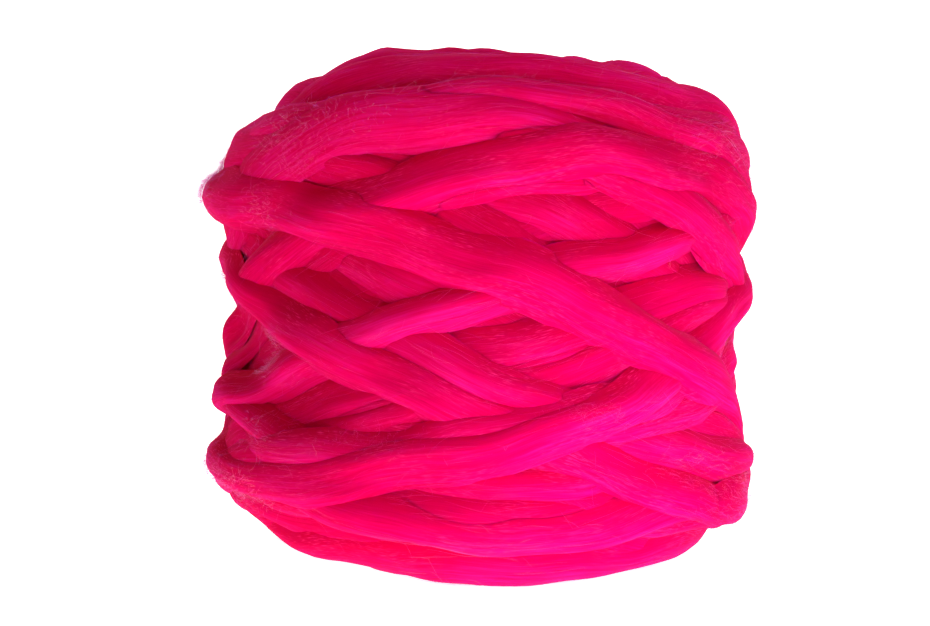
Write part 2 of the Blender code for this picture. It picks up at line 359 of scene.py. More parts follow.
# %% The pile
TURN_STEPS = 720
CLIMB_STEP = 0.001
ACROSS = np.linspace(-1, 1, 15)
STIFF_PART = slice(5, -5)
TURN_IN_DEG = 22.0
END_WIDTH = 0.35
END_THICKNESS = 0.1
SINK = 0.33
STIFFNESS = 0.15
BRIDGE_DEG = 7.0
BED_EVENING = (7.5, 1.2)
WANDER = 0.0016
WANDER_LENGTH = 0.11
WIDTH_UNEVEN = 0.08
WIDTH_WAVE_LENGTH = 0.09
EVENING_LENGTH = 0.026
RELIEF_LIMIT = 0.010
NEAR_STEPS = 8

Laid = namedtuple("Laid", "seed columns turn middle half_width thickness bed")


class Pile:
    """The height of the winding above its core, on a grid of turn and climb."""

    def __init__(self):
        self.low = shape.climb[0]
        self.high = shape.climb[-1]
        self.climbs = np.arange(self.low, self.high, CLIMB_STEP)
        self.turn_step = 2 * np.pi / TURN_STEPS
        self.turns = np.arange(TURN_STEPS) * self.turn_step
        self.height = np.zeros((TURN_STEPS, self.climbs.size))

    def at(self, field, columns, climb):
        """The value of a field of the grid at climbs in the given columns."""
        last_row = self.climbs.size - 1.001  # just short, so that there is a row above it
        row = np.clip((climb - self.low) / CLIMB_STEP, 0, last_row)
        lower = np.floor(row).astype(int)
        share = row - lower
        return field[columns, lower] * (1 - share) + field[columns, lower + 1] * share

    def route(self, laps, turn):
        """The climb of a strand's middle line at each turn."""
        middle = np.zeros(turn.size)
        for leg in laps:
            here = np.degrees(turn) >= leg.from_deg if leg is not laps[0] else slice(None)
            share = (np.degrees(turn[here]) - leg.from_deg) / (leg.to_deg - leg.from_deg)
            rise = (leg.to_mm - leg.from_mm) / 1000
            middle[here] = leg.from_mm / 1000 + rise * (1 - np.cos(np.pi * share)) / 2
        return middle

    def bed_under(self, columns, middle, half_width, thick):
        """The height on which a strand comes to lie, at places across its width."""
        places = [middle + side * half_width for side in ACROSS]
        bed = np.stack([self.at(self.height, columns, place) for place in places], axis=1)
        bed = highest_near(bed, int(np.radians(BRIDGE_DEG) / 2 / self.turn_step))
        bed = smooth(smooth(bed, BED_EVENING[0], axis=0), BED_EVENING[1], axis=1)
        stiff_bed = bed[:, STIFF_PART].mean(axis=1, keepdims=True)
        return (1 - STIFFNESS) * bed + STIFFNESS * stiff_bed - SINK * thick

    def lay(self, laps, seed):
        """Lays one strand and returns where it lies, a row for each step."""
        lap = laps[0]
        start, stop, turn_in = np.radians([lap.from_deg, laps[-1].to_deg, TURN_IN_DEG])
        first = int(np.ceil((start - turn_in) / self.turn_step))
        last = int(np.floor((stop + turn_in) / self.turn_step))
        index = np.arange(first, last + 1)
        turn = index * self.turn_step
        columns = index % TURN_STEPS
        run = BELLY_RADIUS * (turn - turn[0])
        middle = self.route(laps, turn) + WANDER * wander(run, WANDER_LENGTH, seed)
        slope = np.gradient(middle, turn) / shape.radius_at(middle)
        to_end = np.minimum(turn - turn[0], turn[-1] - turn) / turn_in
        fullness = np.clip(to_end, 0, 1)
        fullness = fullness * fullness * (3 - 2 * fullness)
        half_width = lap.width_mm / 2000 * np.sqrt(1 + slope**2)
        uneven = 1 + WIDTH_UNEVEN * wander(run, WIDTH_WAVE_LENGTH, seed + 0.5)
        half_width *= (END_WIDTH + (1 - END_WIDTH) * fullness) * uneven
        thickness = lap.thick_mm / 1000 * (END_THICKNESS + (1 - END_THICKNESS) * fullness)
        bed = self.bed_under(columns, middle, half_width, lap.thick_mm / 1000)
        for step, column in enumerate(columns):
            side = (self.climbs - middle[step]) / half_width[step]
            covered = np.abs(side) < 1
            rise = thickness[step] * crown(side[covered])
            top = np.interp(side[covered], ACROSS, bed[step]) + rise
            self.height[column, covered] = np.maximum(self.height[column, covered], top)
        return Laid(seed, columns, turn, middle, half_width, thickness, bed)

    def even_out(self):
        """The smooth mean of the finished pile, which is laid on the ball's outline."""
        turn_spread = EVENING_LENGTH / (BELLY_RADIUS * self.turn_step)
        even = smooth(self.height, turn_spread, axis=0, wrap=True)
        self.even = smooth(even, EVENING_LENGTH / CLIMB_STEP, axis=1)

    def top_nearby(self):
        """How high the finished pile is round each place of the grid, as a smooth map."""
        wrapped = np.pad(self.height, ((NEAR_STEPS, NEAR_STEPS), (0, 0)), mode="wrap")
        top = highest_near(wrapped, NEAR_STEPS)[NEAR_STEPS:-NEAR_STEPS]
        top = highest_near(top.T, NEAR_STEPS).T
        return smooth(smooth(top, NEAR_STEPS / 2, axis=0, wrap=True), NEAR_STEPS / 2, axis=1)

    def lift(self, height, columns, climb):
        """How far a point at a height of the pile stands out from the outline."""
        above = height - self.at(self.even, columns, climb)
        above = above * (1 - spread(FELTED, columns * self.turn_step, climb))
        ease = np.clip(shape.radius_at(climb) / EYE_RADIUS, 0, 1)
        return RELIEF_LIMIT * np.tanh(above / RELIEF_LIMIT) * ease * ease * (3 - 2 * ease)


print("a grid of", TURN_STEPS, "turns by", Pile().climbs.size, "climbs")

# %% [markdown]
# ## Winding the ball
# Now the laps are laid in their order, the inner ones first. The pile is much thicker than the
# relief that shows, so only its difference from its own smooth mean is put on the outline. Then
# the surface is measured, and its middle is moved over the axis.

# %% Lay all laps and centre the ball
pile = Pile()
laid_inner = [pile.lay([lap], seed) for seed, lap in enumerate(inner_laps())]
laid_outer = []
for seed, laps in enumerate(joined(OUTER_LAPS), start=len(laid_inner)):
    laid_outer.append(pile.lay(laps, seed))
pile.even_out()

every_column = np.arange(TURN_STEPS)[:, None]
every_climb = np.broadcast_to(pile.climbs, pile.height.shape)
surface_lift = pile.lift(pile.height, every_column, every_climb)
surface = shape.place(pile.turns[:, None], pile.climbs[None, :], surface_lift).reshape(-1, 3)
lowest, highest = surface.min(axis=0), surface.max(axis=0)
shape.centre = (lowest + highest)[:2] / 2
print("pile is up to", round(1000 * float(pile.height.max()), 1), "mm thick")
print("outer size in mm", np.round(1000 * (highest - lowest), 1))

# %% [markdown]
# ## From numbers to closed meshes
# Every strand and fibre here is a tube: rings of points, joined by four-sided faces and closed at
# both ends. Blender's curves make such tubes too, but not with a section that changes this much.
# One helper turns a list of tubes into one mesh. It also writes a UV map in real metres, because
# the combed look has to follow each strand, and two attributes: a number for each strand, and
# the painted shade and painted light at each point, which later darken or pale its colour.

# %% The faces and the UVs of one tube
Tube = namedtuple("Tube", "rings run around strand tucked")


def tube_faces(first, ring_count, per_ring):
    """The side faces and the end faces of a tube whose points start at number first."""
    here = np.arange(per_ring)
    ahead = (here + 1) % per_ring
    ring = first + per_ring * np.arange(ring_count - 1)[:, None]
    corners = [ring + here, ring + per_ring + here, ring + per_ring + ahead, ring + ahead]
    last = first + per_ring * (ring_count - 1)
    return np.stack(corners, axis=2).reshape(-1, 4), [first + here, (last + here)[::-1]]


def tube_uvs(run, around):
    """A UV pair for each corner of the side faces, in the order of tube_faces."""
    along = np.broadcast_to(run[:, None], around.shape)
    near, far = along[:-1, :-1], along[1:, 1:]
    u = np.stack([near, far, far, near], axis=2)
    v = np.stack([around[:-1, :-1], around[1:, :-1], around[1:, 1:], around[:-1, 1:]], axis=2)
    return np.stack([u, v], axis=3).reshape(-1, 2)


def end_uvs(tube):
    """The UV pairs of the two end faces."""
    ends = (tube.run[0], tube.around[0, :-1]), (tube.run[-1], tube.around[-1, -2::-1])
    return [np.stack([np.full(around.size, run), around], axis=1) for run, around in ends]


print("a tube of 3 rings of 4 points has", len(tube_faces(0, 3, 4)[0]), "side faces")

# %% A mesh of many closed tubes
def in_scene(name, data):
    """An object for a mesh, a lamp or a camera, put in the scene."""
    thing = bpy.data.objects.new(name, data)
    bpy.context.scene.collection.objects.link(thing)
    return thing


def tube_mesh(name, tubes):
    """One object of closed tubes with the UV map "fibre", a strand number and painted shading."""
    points = np.concatenate([tube.rings.reshape(-1, 3) for tube in tubes])
    sides, ends, side_uv, end_uv, strand, tucked = [], [], [], [], [], []
    first = 0
    for tube in tubes:
        ring_count, per_ring = tube.rings.shape[:2]
        tube_sides, tube_ends = tube_faces(first, ring_count, per_ring)
        sides.append(tube_sides)
        ends += tube_ends
        side_uv.append(tube_uvs(tube.run, tube.around))
        end_uv += end_uvs(tube)
        strand.append(np.full(ring_count * per_ring, tube.strand))
        tucked.append(np.broadcast_to(tube.tucked, (ring_count, per_ring)).ravel())
        first += ring_count * per_ring
    mesh = bpy.data.meshes.new(name)
    faces = np.concatenate(sides).tolist() + [end.tolist() for end in ends]
    mesh.from_pydata(points.tolist(), [], faces)
    layer = mesh.uv_layers.new(name="fibre")
    layer.data.foreach_set("uv", np.concatenate(side_uv + end_uv).ravel())
    for attribute, values in (("strand", strand), ("tucked", tucked)):
        point_values = mesh.attributes.new(attribute, "FLOAT", "POINT")
        point_values.data.foreach_set("value", np.concatenate(values))
    mesh.shade_smooth()
    triangles = sum(len(face.vertices) - 2 for face in mesh.polygons)
    print(name, len(tubes), "tubes,", triangles, "triangles")
    return in_scene(name, mesh)


print("a mesh carries", ", ".join(Tube._fields[1:]), "of each tube")

# %% [markdown]
# ## Creases and ridges
# The upper side of a strand carries lengthwise creases, where the wool has split into locks, and
# fine ridges. Both wander slowly from side to side. A bump in the material could fake them, but
# real creases also show in the strand's outline, so they go into the shape.

# %% The upper side of a strand
CREASES = ((-0.38, 0.17), (0.30, 0.13), (-0.02, 0.10))
CREASE_WIDTH = 0.17
CREASE_SWAY = 0.22
CREASE_FADE_LENGTH = 0.12
CREASE_FADE_MIDDLE = 0.45
CREASE_DEEPEST = 1.2
RIDGE_HEIGHT = 0.00004
RIDGE_SWAY = 0.0015
RIDGE_SWAY_LENGTH = 0.09
RIDGE_SPACING = 0.0042
FINE_RIDGE_SPACING = 0.0027
FINE_RIDGE_SHARE = 0.6


def creased(side, run, seed, crease_depth):
    """The crown with its creases, as a share of the thickness."""
    height = crown(side)
    smooth_crown = height
    for number, (place, wave_length) in enumerate(CREASES):
        at = place + CREASE_SWAY * wander(run, wave_length, seed + 0.3 * number + 0.1)
        fade = CREASE_FADE_MIDDLE + wander(run, CREASE_FADE_LENGTH, seed + 0.7 + number)
        depth = crease_depth * np.clip(fade, 0, CREASE_DEEPEST)
        height = height - depth * np.exp(-(((side - at) / CREASE_WIDTH) ** 2)) * smooth_crown
    return height


def ridges(side, run, half_width, seed):
    """Fine lengthwise ridges in metres, fading out towards the edges."""
    across = side * half_width + RIDGE_SWAY * wander(run, RIDGE_SWAY_LENGTH, seed)
    coarse = wander(across, RIDGE_SPACING, seed + 0.2)
    fine = wander(across, FINE_RIDGE_SPACING, seed + 0.6)
    return RIDGE_HEIGHT * (coarse + FINE_RIDGE_SHARE * fine) * (1 - side**4)


print(len(CREASES), "creases along each strand")

# %% [markdown]
# ## Painted shade and light on the wool
# Wool that lies low between its neighbours gets painted shade, a deeper crimson. So does a
# strand's upper edge, which turns in under the lap above, while its lower edge, which faces the
# white table, gets painted light and looks paler. This is measured from the shape, as one number
# for each point: above 0 is painted shade, below 0 painted light.

# %% The painted shading attribute
UPPER_EDGE_PAINTED_SHADE = 0.50
LOWER_RIM_PAINTED_LIGHT = 0.30
RIM_REACH = 0.7
SUNK_PAINTED_SHADE = 0.45
SUNK_DEPTH = 0.006
top_nearby = pile.top_nearby()


def painted_shading_of(side, height, columns, climb):
    """Painted shade, above 0, and painted light, below 0, of a strand's points, from the pile."""
    # Painted shade on the upper edge, painted light on the lower rim, painted shade where the wool
    # lies low
    edges = UPPER_EDGE_PAINTED_SHADE * np.clip(side, 0, 1)
    edges = edges - LOWER_RIM_PAINTED_LIGHT * np.clip(-side / RIM_REACH, 0, 1)
    sunk = pile.at(top_nearby, columns, climb) - height
    return edges + SUNK_PAINTED_SHADE * np.clip(sunk / SUNK_DEPTH, 0, 1)


print("the pile rises up to", round(1000 * float((top_nearby - pile.height).max()), 1), "mm nearby")

# %% [markdown]
# ## The strands
# Each laid strand becomes one tube. Its upper points follow the creased crown on the bed that the
# strand found, closer together near the edges, where it bends most. A few lower points only close
# the shape. The inner laps hardly show, so they take fewer points, and all laps are joined to
# five pieces, which are easier to handle than a hundred.

# %% Build a strand
UNDER_POINTS = 5
UNDERSIDE_SHARE = 0.30
RIDGES_FROM_THICKNESS = 0.004
GOLDEN_SHARE = 0.618034
LENGTH_OFFSET = 1.37
Detail = namedtuple("Detail", "every_step top_points crease_depth")


def strand_number(seed):
    """A number between 0 and 1 that is quite different for neighbouring strands."""
    return seed * GOLDEN_SHARE % 1


def strand_tube(laid, detail):
    """The closed tube of one laid strand."""
    pick = np.arange(0, laid.turn.size, detail.every_step)
    top = np.sin(np.linspace(-np.pi / 2, np.pi / 2, detail.top_points))[None, :]
    under = np.sin(np.linspace(np.pi / 2, -np.pi / 2, UNDER_POINTS + 2)[1:-1])[None, :]
    turn = laid.turn[pick, None]
    columns = laid.columns[pick, None]
    half_width = laid.half_width[pick, None]
    thickness = laid.thickness[pick, None]
    run = BELLY_RADIUS * (turn - turn[0])
    side = np.concatenate([top + 0 * turn, under + 0 * turn], axis=1)
    climb = laid.middle[pick, None] + side * half_width
    bed = np.stack([np.interp(side[row], ACROSS, laid.bed[step]) for row, step in enumerate(pick)])
    rise = creased(side, run, laid.seed, detail.crease_depth) * thickness
    full = np.clip(thickness / RIDGES_FROM_THICKNESS, 0, 1)
    rise = rise + ridges(side, run, half_width, laid.seed) * full
    below = slice(detail.top_points, None)
    rise[:, below] = -UNDERSIDE_SHARE * thickness * np.sqrt(1 - side[:, below] ** 2)
    lift = pile.lift(bed + rise, np.broadcast_to(columns, climb.shape), climb)
    rings = shape.place(np.broadcast_to(turn, climb.shape), climb, lift)
    steps = np.linalg.norm(np.diff(rings[:, detail.top_points // 2], axis=0), axis=1)
    length = laid.seed * LENGTH_OFFSET + np.concatenate([[0], np.cumsum(steps)])
    # The upper side goes from -1 to 1 half widths, and the underside on from there to 3
    around = np.concatenate([top[0], 2 - under[0], [3]])[None, :] * half_width
    # Painted shade and painted light from how the strand lies; the underside gets full painted
    # shade
    tucked = painted_shading_of(side, bed + rise, columns, climb)
    tucked[:, below] = 1
    return Tube(rings, length, around, strand_number(laid.seed), tucked)


print("the first strands' numbers:", [round(strand_number(seed), 2) for seed in range(4)])

# %% Make the inner and the outer laps
HIDDEN, HALF_HIDDEN, SHOWING = Detail(8, 9, 0.03), Detail(6, 11, 0.05), Detail(3, 23, 0.09)


def strands(name, laid_laps, detail):
    return tube_mesh(name, [strand_tube(laid, detail) for laid in laid_laps])


half_inner = len(laid_inner) // 2
third = len(laid_outer) // 3
roving = [
    strands("roving_inner_laps_a", laid_inner[:half_inner], HIDDEN),
    strands("roving_inner_laps_b", laid_inner[half_inner:], HALF_HIDDEN),
    strands("roving_outer_laps_a", laid_outer[:third], SHOWING),
    strands("roving_outer_laps_b", laid_outer[third : 2 * third], SHOWING),
    strands("roving_outer_laps_c", laid_outer[2 * third :], SHOWING),
]

# %% [markdown]
# ## The body under the laps
# Between laps one would look into the ball. A closed body a few millimetres under the pile's
# surface stops the view, as deeper wool does in the real one. More laps would do it too, but one
# more tube, whose rings run round the ball's axis, takes far fewer faces.

# %% Make the body
BODY_DEPTH = 0.0028
BODY_REACH = 7
BODY_EVENING = 4
BODY_TURN_STRIDE = 6
BODY_CLIMBS = slice(4, -4, 5)


def wool_body():
    columns = np.arange(0, TURN_STEPS, BODY_TURN_STRIDE)
    climbs = pile.climbs[BODY_CLIMBS]
    lowest = -highest_near(highest_near(-pile.height, BODY_REACH).T, BODY_REACH).T
    soft = smooth(smooth(lowest, BODY_EVENING, axis=0, wrap=True), BODY_EVENING, axis=1)
    depth = soft[:, BODY_CLIMBS][columns] - BODY_DEPTH
    grid_climb = np.broadcast_to(climbs, depth.shape)
    turn = pile.turns[columns][:, None]
    lift = pile.lift(depth, columns[:, None], grid_climb)
    rings = shape.place(np.broadcast_to(turn, lift.shape), grid_climb, lift).transpose(1, 0, 2)
    around = BELLY_RADIUS * np.append(turn[:, 0], 2 * np.pi)
    around = np.broadcast_to(around, (climbs.size, columns.size + 1))
    # The body gets full painted shade
    return tube_mesh("roving_body", [Tube(rings, climbs, around, 0.5, 1)])


roving.append(wool_body())

# %% [markdown]
# ## Loose fibres
# Wool is never quite tamed: single fibres stand off the strands, mostly along them. Blender's
# own hair could do this, but it doesn't leave Blender as a mesh, so each fibre is a very thin
# closed tube of three sides, thinner towards both ends.

# %% Rings along a fibre
TAPER_START = 0.25
TAPER_POWER = 0.6
ANY_DIRECTION = np.array([0.31, 0.17, 0.93])


def fibre_rings(path, radius):
    """Three-sided rings along paths; path is fibres x points x 3."""
    along = np.gradient(path, axis=1)
    along /= np.linalg.norm(along, axis=2, keepdims=True)
    first = np.cross(along, ANY_DIRECTION)
    first /= np.linalg.norm(first, axis=2, keepdims=True)
    second = np.cross(along, first)
    taper = np.sin(np.linspace(TAPER_START, np.pi - TAPER_START, path.shape[1])) ** TAPER_POWER
    corners = []
    for angle in np.arange(3) * 2 * np.pi / 3:
        offset = np.cos(angle) * first + np.sin(angle) * second
        corners.append(path + offset * radius[:, None, None] * taper[None, :, None])
    return np.stack(corners, axis=2)


print("a fibre's ends are", round(np.sin(TAPER_START) ** TAPER_POWER, 2), "of its full radius")

# %% [markdown]
# ## Where fibres start
# The longer fibres start anywhere on a strand that lies on top, and head the way it runs. A start
# that falls on covered wool is drawn again.

# %% Starts on the strands that show
FIBRE_SEED = 11
LYING_FIBRES = 1800
FLYAWAY_FIBRES = 600
START_REACH = 0.9
COVERED_BY = 0.0006
draw = np.random.default_rng(FIBRE_SEED)


def visible_starts(count):
    """Turn, climb, slope and strand number of places on strands that lie on top."""
    starts = []
    while len(starts) < count:
        laid = laid_outer[draw.integers(len(laid_outer))]
        step = draw.integers(laid.turn.size)
        side = draw.uniform(-START_REACH, START_REACH)
        climb = laid.middle[step] + side * laid.half_width[step]
        bed = np.interp(side, ACROSS, laid.bed[step])
        own = bed + laid.thickness[step] * crown(side)
        if own > pile.at(pile.height, laid.columns[step], climb) - COVERED_BY:
            slope = np.gradient(laid.middle)[step] / (pile.turn_step * shape.radius_at(climb))
            starts.append((laid.turn[step], climb, slope, strand_number(laid.seed)))
    return np.array(starts).T


lying_starts = visible_starts(LYING_FIBRES)
flyaway_starts = visible_starts(FLYAWAY_FIBRES)
print(LYING_FIBRES, "lying and", FLYAWAY_FIBRES, "flyaway fibres have their starts")

# %% [markdown]
# ## Fuzzy spots
# Where the ball was gripped or rubbed, short curly fibres stand out in a pale haze. A table says
# where such spots are and how many fibres each has, dense in the middle and thin outside.

# %% Starts in the fuzzy spots
Fuzz = namedtuple("Fuzz", "turn_deg climb_mm reach_deg reach_mm count")
FUZZ_SPOTS = (
    Fuzz(-41, 80, 7, 7, 220),
    Fuzz(-27, 82, 9, 6, 160),
    Fuzz(-80, 67, 4, 8, 1000),
    Fuzz(-81, 17, 5, 9, 450),
    Fuzz(-37, 64, 3, 3, 120),
    Fuzz(-49, 50, 3, 6, 160),
    Fuzz(-49, -10, 3, 3, 100),
    Fuzz(-52, -22, 3, 3, 120),
    Fuzz(-48, -48, 3, 4, 120),
    Fuzz(-74, -72, 5, 8, 300),
    Fuzz(-59, -77, 7, 7, 340),
    Fuzz(-23, -51, 6, 4, 180),
    Fuzz(20, -40, 4, 3, 120),
    Fuzz(43, -64, 6, 4, 160),
    Fuzz(62, -80, 9, 8, 480),
    Fuzz(52, 79, 10, 8, 300),
    Fuzz(80, 60, 8, 12, 300),
    Fuzz(14, 104, 14, 6, 60),
)


def fuzzy_starts(spots):
    """Turn, climb, slope and strand number of places in and round fuzzy spots."""
    starts = []
    for spot in spots:
        turn = np.radians(draw.normal(spot.turn_deg, spot.reach_deg, spot.count))
        climb = draw.normal(spot.climb_mm, spot.reach_mm, spot.count) / 1000
        starts.append(np.stack([turn, climb, 0 * turn, draw.uniform(0, 1, spot.count)]))
    return np.concatenate(starts, axis=1)


print(len(FUZZ_SPOTS), "fuzzy spots with", sum(spot.count for spot in FUZZ_SPOTS), "fibres")

# %% [markdown]
# ## How fibres run
# A fibre leaves its start both ways, heads more or less along its strand, bends and waves a
# little, and follows the surface below it: a lying fibre closely all along, while a flying one is
# held at one end and curls out at the other.

# %% The paths of the fibres
END_MARGIN = 0.005
SMALLEST_RADIUS = 0.02
WAVE_HEIGHTS = (0.0001, 0.0006)
WAVE_RUN = 0.004
WAVE_PHASES = (0, 6)
LYING_GAP, LYING_HUMP = 0.0001, (0.0001, 0.0006)
FLYING_GAP, FLYING_REACH = 0.0002, (0.0005, 0.004)
FLYING_POWER = 1.5
AROUND_FIBRE = np.array([0, 0.0001, 0.0002, 0.0003])
UV_APART = 0.1


def pile_top(turn, climb):
    """The height of the finished pile at any turns and climbs."""
    step = turn / pile.turn_step
    low = np.floor(step).astype(int)
    share = step - low
    below = pile.at(pile.height, low % TURN_STEPS, climb)
    return below * (1 - share) + pile.at(pile.height, (low + 1) % TURN_STEPS, climb) * share


def lying(share, count):
    """Close to the surface all along, a little higher in the middle."""
    hump = draw.uniform(*LYING_HUMP, count)[:, None]
    return LYING_GAP + hump * np.cos(np.pi * share) ** 2


def flying(share, count):
    """One end held by the surface, the other curling out."""
    out = draw.uniform(*FLYING_REACH, count)[:, None]
    return FLYING_GAP + out * (share + 0.5) ** FLYING_POWER


def fibres(name, starts, kind):
    """Fibres of one kind from their starting places."""
    turn, climb, slope, strand = starts
    count = turn.size
    share = np.linspace(-0.5, 0.5, kind.points)[None, :]
    run = share * draw.uniform(*kind.length, count)[:, None]
    heading = (np.arctan(slope) + draw.normal(0, kind.drift, count))[:, None]
    bend = draw.normal(0, kind.curl, count)[:, None] * run**2
    wave_height = draw.uniform(*WAVE_HEIGHTS, count)[:, None]
    wave = wave_height * np.sin(run / WAVE_RUN + draw.uniform(*WAVE_PHASES, count)[:, None])
    away = bend + wave
    climbs = climb[:, None] + run * np.sin(heading) + away * np.cos(heading)
    climbs = np.clip(climbs, pile.low + END_MARGIN, pile.high - END_MARGIN)
    turn_run = run * np.cos(heading) - away * np.sin(heading)
    turns = turn[:, None] + turn_run / np.maximum(shape.radius_at(climbs), SMALLEST_RADIUS)
    column = np.round(turns / pile.turn_step).astype(int) % TURN_STEPS
    lift = pile.lift(pile_top(turns, climbs), column, climbs)
    lift = smooth(highest_near(lift.T, 1).T, 1.0, axis=1) + kind.height(share, count)
    rings = fibre_rings(shape.place(turns, climbs, lift), draw.uniform(*kind.radius, count))
    around = AROUND_FIBRE[None, :] + np.zeros((kind.points, 1))
    runs = run + UV_APART * np.arange(count)[:, None]
    # Loose fibres get no painted shade or light
    tubes = [Tube(ring, along, around, own, 0) for ring, along, own in zip(rings, runs, strand)]
    return tube_mesh(name, tubes)


# %% Make the fibres
Kind = namedtuple("Kind", "points length height drift curl radius")
LYING_KIND = Kind(9, (0.008, 0.030), lying, 0.04, 2, (0.00003, 0.00006))
FLYAWAY_KIND = Kind(9, (0.004, 0.012), flying, 0.7, 60, (0.00003, 0.00005))
FUZZ_KIND = Kind(6, (0.0008, 0.0026), flying, 1.5, 1200, (0.000022, 0.000040))
roving.append(fibres("roving_lying_fibres", lying_starts, LYING_KIND))
roving.append(fibres("roving_flyaway_fibres", flyaway_starts, FLYAWAY_KIND))
roving.append(fibres("roving_fuzz", fuzzy_starts(FUZZ_SPOTS), FUZZ_KIND))

# %% [markdown]
# ## Small helpers for shader nodes
# A material is a tree of nodes, which could be put together by hand in the shader editor. Here
# one helper makes any node and fills its inputs, and the others make what comes up often.

# %% Helpers for nodes
def fill(node, values):
    """Gives a node's input sockets their values, or links where a value is a socket."""
    for name, value in dict(values).items():
        if isinstance(value, bpy.types.NodeSocket):
            node.id_data.links.new(value, node.inputs[name])
        else:
            node.inputs[name].default_value = value


def add(tree, kind, values=(), **settings):
    """A new node with its settings and its filled inputs."""
    node = tree.nodes.new(kind)
    for name, value in settings.items():
        setattr(node, name, value)
    fill(node, values)
    return node


def noise(tree, place, scale, detail, roughness=0.5):
    """A soft random value between 0 and 1 at each place."""
    values = {"Vector": place, "Scale": scale, "Detail": detail, "Roughness": roughness}
    return add(tree, "ShaderNodeTexNoise", values).outputs[0]


def stretched(tree, place, factors):
    """A place with each of its three parts multiplied by a factor of its own."""
    values = {0: place, 1: factors}
    return add(tree, "ShaderNodeVectorMath", values, operation="MULTIPLY").outputs[0]


def multiply_add(tree, value, factor, plus=0.0):
    """The value times the factor, plus a third value."""
    values = {0: value, 1: factor, 2: plus}
    return add(tree, "ShaderNodeMath", values, operation="MULTIPLY_ADD").outputs[0]


def soft_step(tree, value, limits):
    """A soft rise from 0 at the first limit to 1 at the second."""
    values = {"Value": value, "From Min": limits[0], "From Max": limits[1]}
    return add(tree, "ShaderNodeMapRange", values, interpolation_type="SMOOTHSTEP").outputs[0]


def plain_material(name, values):
    """A material, its node tree and its Principled shader with the given values."""
    material = bpy.data.materials.new(name)
    material.use_nodes = True
    surface = material.node_tree.nodes["Principled BSDF"]
    fill(surface, values)
    return material, material.node_tree, surface


print("helpers for shader nodes are ready")

# %% [markdown]
# ## The combed wool
# Combing lays all fibres side by side, so the wool shows long fine streaks of lighter and darker
# pink, and in places single fibres catch the light as short glints. An image of wool would bring
# its own light and repeats, so we stretch a noise texture along the UV map, and sway it, as no
# fibre runs quite straight. Strands and loose fibres share it, so it is a node group, which
# gives a streak mask for the colour, a height for the bump and a glint mask.

# %% The node group for the streaks
INPUTS = {"Strand": 0.0, "Along": 30.0, "Across": 1000.0}
SWAY_WAVES = (28, 90, 0)
SWAY = 0.0035
STRANDS_APART = 37.0
FINE_SHARE = 0.9
STREAK_LIMITS = (-0.18, 2.08)
SPECK_STRETCH, SPECK_LIMITS = (8, 3, 1), (0.52, 0.77)
PATCH_STRETCH, PATCH_LIMITS = (1, 0.08, 1), (0.40, 0.66)


def combed_fibres():
    """Group: streaks along the UV map "fibre". Along and Across are periods per metre."""
    group = bpy.data.node_groups.new("combed_fibres", "ShaderNodeTree")
    new_socket = group.interface.new_socket
    new_socket(name="Fibre UV", in_out="INPUT", socket_type="NodeSocketVector")
    for name, value in INPUTS.items():
        socket = new_socket(name=name, in_out="INPUT", socket_type="NodeSocketFloat")
        socket.default_value = value
    for name in ("Streak", "Height", "Glint"):
        new_socket(name=name, in_out="OUTPUT", socket_type="NodeSocketFloat")
    source = add(group, "NodeGroupInput").outputs
    split = add(group, "ShaderNodeSeparateXYZ", {0: source["Fibre UV"]}).outputs
    sway_place = stretched(group, source["Fibre UV"], SWAY_WAVES)
    sway = noise(group, sway_place, scale=1.0, detail=2.0)
    swayed = multiply_add(group, sway, SWAY, split["Y"])
    along = multiply_add(group, split["X"], source["Along"])
    across = multiply_add(group, swayed, source["Across"])
    apart = multiply_add(group, source["Strand"], STRANDS_APART)
    place = add(group, "ShaderNodeCombineXYZ", {"X": along, "Y": across, "Z": apart}).outputs[0]
    coarse = noise(group, place, scale=0.7, detail=3.0, roughness=0.7)
    fine = noise(group, place, scale=1.7, detail=2.0, roughness=0.6)
    both = multiply_add(group, fine, FINE_SHARE, coarse)
    specks = noise(group, stretched(group, place, SPECK_STRETCH), scale=1.0, detail=1.0)
    patches = noise(group, stretched(group, place, PATCH_STRETCH), scale=1.0, detail=1.0)
    speck = soft_step(group, specks, SPECK_LIMITS)
    patch = soft_step(group, patches, PATCH_LIMITS)
    streak = soft_step(group, both, STREAK_LIMITS)
    glint = multiply_add(group, speck, patch)
    add(group, "NodeGroupOutput", {"Streak": streak, "Height": both, "Glint": glint})
    return group


combed = combed_fibres()
given = [item.name for item in combed.interface.items_tree if item.in_out == "OUTPUT"]
print("group", combed.name, "gives", given)

# %% [markdown]
# ## The dyed wool
# Strands take up the strong magenta dye a little differently, and thin loose fibres are painted
# paler for the light that goes through them. One colour would look like plastic, so it runs through
# three shades by the streaks, a cloudy noise and the strand's number; painted shade and light
# darken or pale it by how the wool lies, with painted glints on top. Wool scatters light inside, so
# the surface is soft and dull, with a faint coloured sheen instead of a highlight.

# %% The wool materials
DEEP_PINK = (0.62, 0.0003, 0.042, 1)
MAIN_PINK = (0.81, 0.0006, 0.089, 1)
PALE_PINK = (0.92, 0.0085, 0.210, 1)
FIBRE_PINK = (0.95, 0.0600, 0.330, 1)
# The colour of the painted shade
PAINTED_SHADE_PINK = (0.64, 0.0003, 0.050, 1)
# The colour of the painted glints, short highlights on single fibres
GLINT_PINK = (0.93, 0.0200, 0.165, 1)
CLOUD_SCALE = 30.0
CLOUD_SHARE = 0.30
STRAND_SHARE = 0.12
PAINTED_SHADING_SHARE = -0.18
SHADE_PLACES = (0.30, 0.66, 1.0)
WOOL_FINISH = {
    "Roughness": 0.78,
    "Subsurface Weight": 0.7,
    "Subsurface Radius": (0.2, 0.7, 0.7),
    "Subsurface Scale": 0.004,
    "IOR": 1.30,
    "Specular IOR Level": 0.0,
    "Sheen Roughness": 0.30,
    "Sheen Tint": (1.0, 0.30, 0.55, 1),
}


